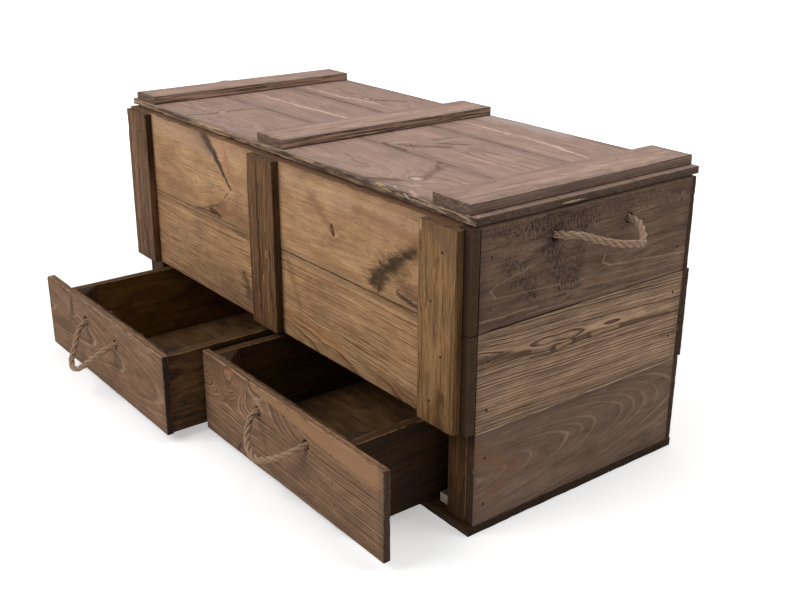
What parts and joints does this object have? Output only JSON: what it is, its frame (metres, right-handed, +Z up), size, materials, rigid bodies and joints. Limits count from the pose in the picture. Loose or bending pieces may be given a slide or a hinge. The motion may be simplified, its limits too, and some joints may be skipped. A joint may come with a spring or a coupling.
{
  "type": "mule chest",
  "caption": "Long rough-board storage chest with a battened, hinged lid, open-topped drawers side by side below the lidded compartment, and knotted rope handles.",
  "frame": {"origin": "middle of the underside of the case's floor, on the surface that the chest stands on", "axes": "+Z up, +X along the chest's length, -Y out of the front with the drawers"},
  "size_m": [1.1034, 0.7085, 0.4771],
  "materials": {
    "grey_board": "weathered, unsealed",
    "lid_board": "weathered, unsealed",
    "warm_board": "weathered, unsealed",
    "grey_batten": "weathered, unsealed",
    "drawer_board": "weathered, unsealed",
    "dark_frame": "dark stain",
    "jute": "twisted fibre",
    "dark_iron": "aged, matte"
  },
  "bodies": {
    "case": {"floor_plank_1": "grey_board", "floor_plank_2": "grey_board", "floor_plank_3": "grey_board", "floor_plank_4": "grey_board", "left_end_board_lower": "grey_board", "left_end_board_middle": "grey_board", "left_end_board_upper": "grey_board", "right_end_board_lower": "grey_board", "right_end_board_middle": "grey_board", "right_end_board_upper": "grey_board", "front_left_post": "dark_frame", "front_right_post": "dark_frame", "back_left_post": "dark_frame", "back_right_post": "dark_frame", "front_board_lower": "warm_board", "front_board_upper": "warm_board", "front_batten_left": "grey_batten", "front_batten_centre": "grey_batten", "front_batten_right": "warm_board", "back_board_lower": "grey_board", "back_board_middle": "grey_board", "back_board_upper": "grey_board", "compartment_floor": "dark_frame", "compartment_cleats": "dark_frame", "drawer_divider": "dark_frame", "drawer_guides": "dark_frame", "hinge_case_leaves": "dark_iron", "hinge_case_screws": "dark_iron", "hinge_pins": "dark_iron", "case_nails": "dark_iron", "left_end_rope": "jute", "right_end_rope": "jute", "end_rope_knots": "jute"},
    "lid": {"lid_board_1": "lid_board", "lid_board_2": "lid_board", "lid_board_3": "lid_board", "lid_batten_left": "lid_board", "lid_batten_centre": "lid_board", "lid_batten_right": "lid_board", "hinge_lid_leaves": "dark_iron", "hinge_lid_screws": "dark_iron", "lid_nails": "dark_iron"},
    "left_drawer": {"left_drawer_front": "drawer_board", "left_drawer_box_front": "dark_frame", "left_drawer_inner_side": "dark_frame", "left_drawer_outer_side": "dark_frame", "left_drawer_back": "dark_frame", "left_drawer_bottom": "dark_frame", "left_drawer_corner_blocks": "dark_frame", "left_drawer_rope": "jute", "left_drawer_rope_knots": "jute"},
    "right_drawer": {"right_drawer_front": "drawer_board", "right_drawer_box_front": "dark_frame", "right_drawer_inner_side": "dark_frame", "right_drawer_outer_side": "dark_frame", "right_drawer_back": "dark_frame", "right_drawer_bottom": "dark_frame", "right_drawer_corner_blocks": "dark_frame", "right_drawer_rope": "jute", "right_drawer_rope_knots": "jute"}
  },
  "joints": [
    {"name": "lid_hinge", "type": "hinge", "parent": "case", "child": "lid", "pos_m": [0, 0.22036, 0.44995], "axis": [-1, 0, 0], "range_deg": [0, 104]},
    {"name": "left_drawer_slide", "type": "slide", "parent": "case", "child": "left_drawer", "axis": [0, -1, 0], "range_m": [-0.2027, 0.1243]},
    {"name": "right_drawer_slide", "type": "slide", "parent": "case", "child": "right_drawer", "axis": [0, -1, 0], "range_m": [-0.138, 0.189]}
  ]
}
